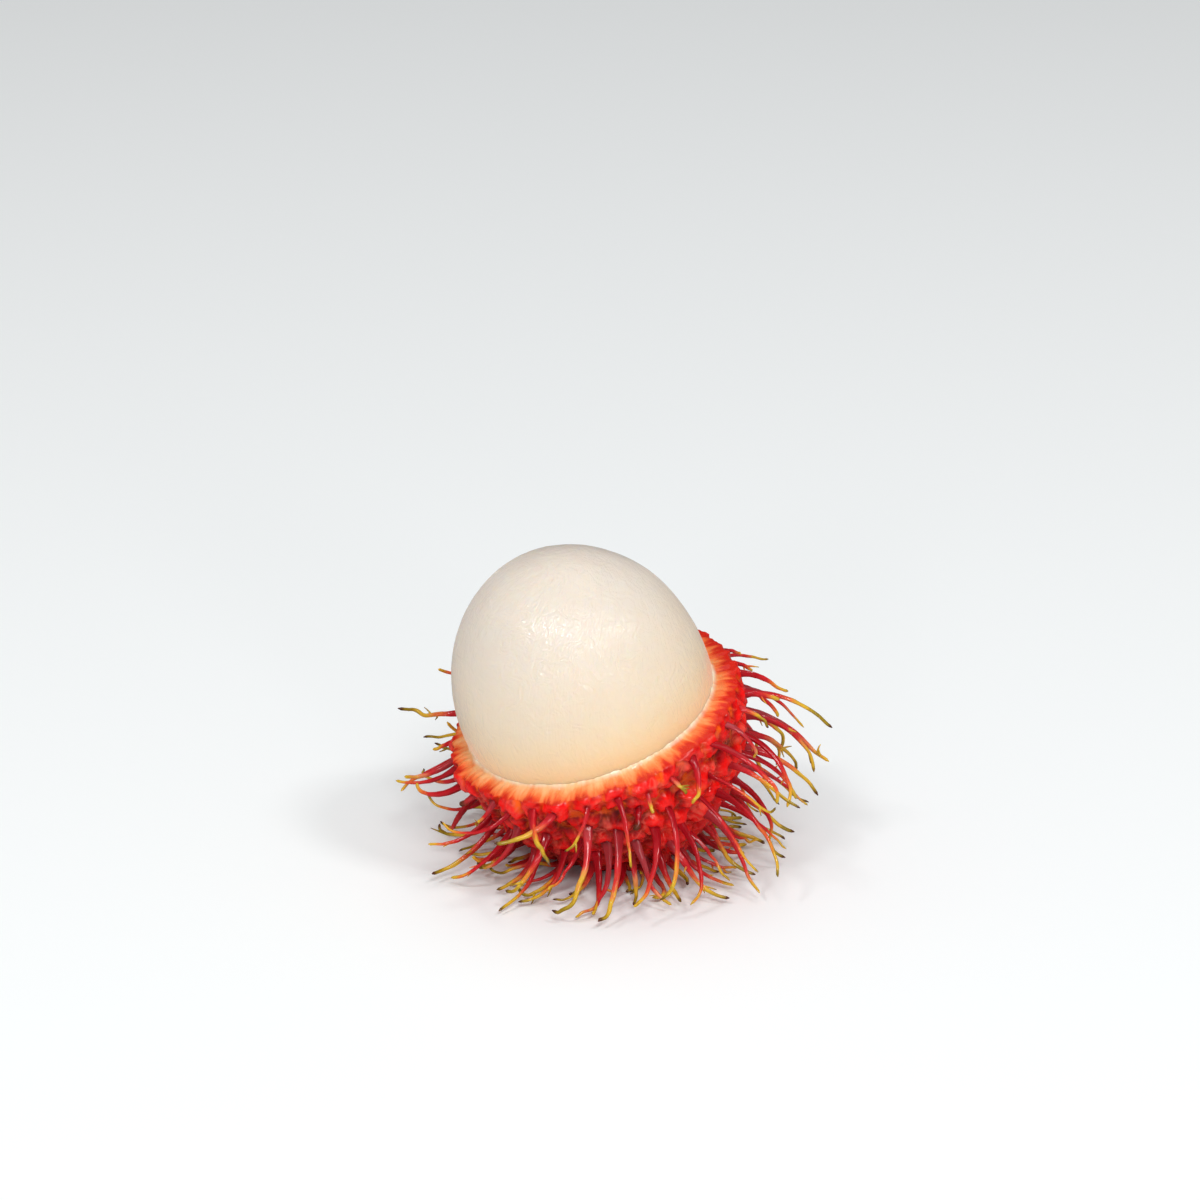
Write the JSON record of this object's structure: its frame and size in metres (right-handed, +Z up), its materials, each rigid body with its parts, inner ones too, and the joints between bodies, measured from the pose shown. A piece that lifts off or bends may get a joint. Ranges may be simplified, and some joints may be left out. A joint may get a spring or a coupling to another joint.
{
  "type": "rambutan fruit",
  "caption": "Ripe rambutan with the upper part of its peel taken off: egg-shaped white flesh standing in a cup of red peel with soft curved spines.",
  "frame": {"origin": "middle of the small flat spot on the peel's foot, on the surface that the fruit rests on", "axes": "+Z up, square to the surface that the fruit rests on; -Y towards the lower front of the cut rim, and the flesh leans towards -X"},
  "size_m": [0.0551, 0.0552, 0.0416],
  "materials": {
    "peel": "satin",
    "flesh": "satin"
  },
  "bodies": {
    "root": {"peel": "peel", "flesh": "flesh"}
  },
  "joints": []
}
